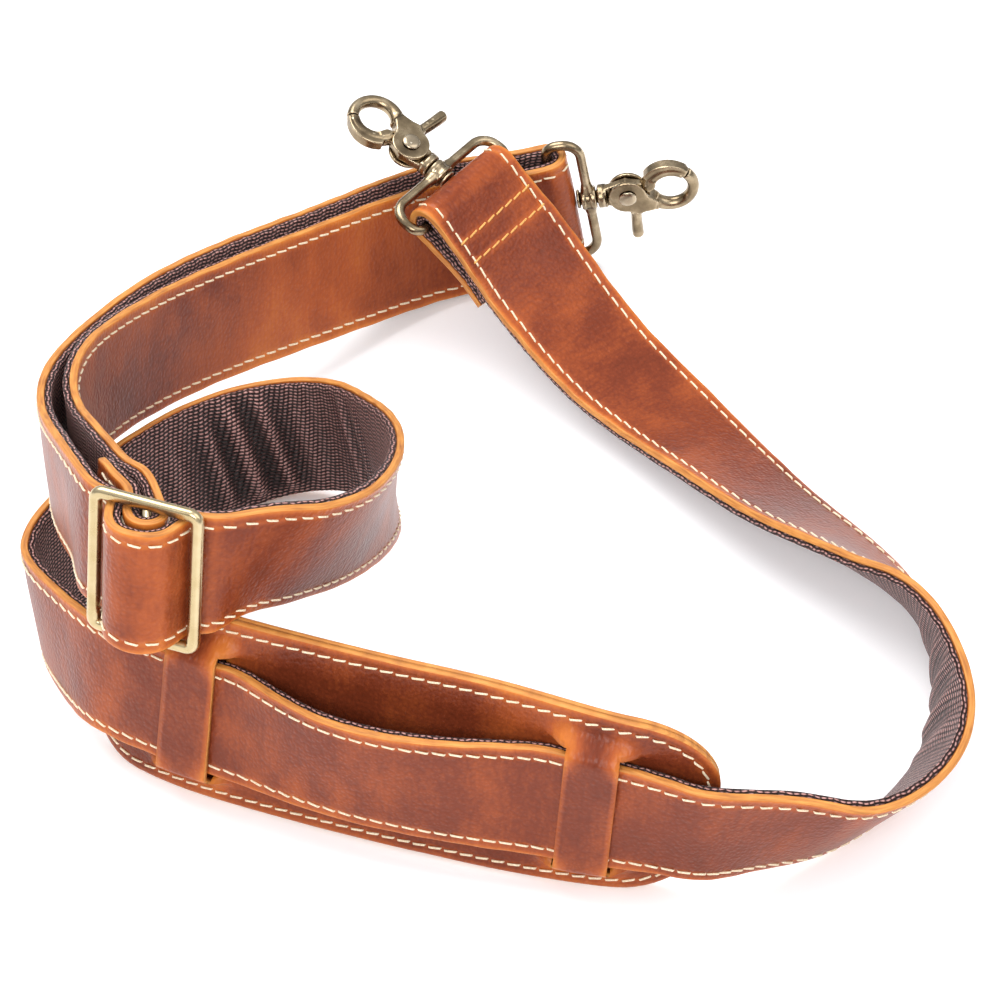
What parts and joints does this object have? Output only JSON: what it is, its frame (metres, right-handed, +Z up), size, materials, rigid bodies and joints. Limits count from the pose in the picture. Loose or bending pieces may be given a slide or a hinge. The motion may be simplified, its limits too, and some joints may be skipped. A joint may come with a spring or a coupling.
{
  "type": "bag shoulder strap",
  "caption": "Leather and webbing shoulder strap lying in loops, with a slit leather pad, a brass slider and swivel trigger hooks at its ends.",
  "frame": {"origin": "middle of the bounding box at the base, where the strap rests on the table", "axes": "+Z up, -Y towards the viewer of the picture, +X to its right; the pad lies along the front"},
  "size_m": [0.2608, 0.278, 0.1069],
  "materials": {
    "strap_leather": "waxed pull-up",
    "strap_webbing": "woven",
    "pad_leather": "waxed pull-up",
    "slider_brass": "satin",
    "hook_brass": "antique"
  },
  "bodies": {
    "strap": {"strap_leather": "strap_leather", "strap_webbing": "strap_webbing", "pad_front": "pad_leather", "pad_backing": "pad_leather", "slider_frame": "slider_brass"},
    "ring_a": {"hook_ring_a": "hook_brass"},
    "hook_a": {"hook_body_a": "hook_brass", "hook_rivet_a": "hook_brass"},
    "trigger_a": {"hook_trigger_a": "hook_brass"},
    "ring_b": {"hook_ring_b": "hook_brass"},
    "hook_b": {"hook_body_b": "hook_brass", "hook_rivet_b": "hook_brass"},
    "trigger_b": {"hook_trigger_b": "hook_brass"}
  },
  "joints": [
    {"name": "ring_swing_a", "type": "hinge", "parent": "strap", "child": "ring_a", "pos_m": [-0.00788, 0.10715, 0.04718], "axis": [-0.6085, -0.7931, -0.0274], "range_deg": [-90, 0]},
    {"name": "hook_swivel_a", "type": "hinge", "parent": "ring_a", "child": "hook_a", "pos_m": [-0.01556, 0.11292, 0.05089], "axis": [-0.7461, 0.56, 0.3602], "range_deg": [-200, 50]},
    {"name": "trigger_a", "type": "hinge", "parent": "hook_a", "child": "trigger_a", "pos_m": [-0.02452, 0.11964, 0.05521], "axis": [-0.2704, 0.2396, -0.9325], "range_deg": [0, 25], "stiffness_Nm_per_rad": 0.05},
    {"name": "ring_swing_b", "type": "hinge", "parent": "strap", "child": "ring_b", "pos_m": [0.01979, 0.13186, 0.02429], "axis": [-0.1632, -0.0552, 0.9851], "range_deg": [-30, 75]},
    {"name": "hook_swivel_b", "type": "hinge", "parent": "ring_b", "child": "hook_b", "pos_m": [0.02995, 0.13197, 0.02598], "axis": [0.9864, 0.0108, 0.164], "continuous": true},
    {"name": "trigger_b", "type": "hinge", "parent": "hook_b", "child": "trigger_b", "pos_m": [0.04179, 0.1321, 0.02794], "axis": [-0.0197, 0.9984, 0.0527], "range_deg": [0, 25], "stiffness_Nm_per_rad": 0.05}
  ]
}
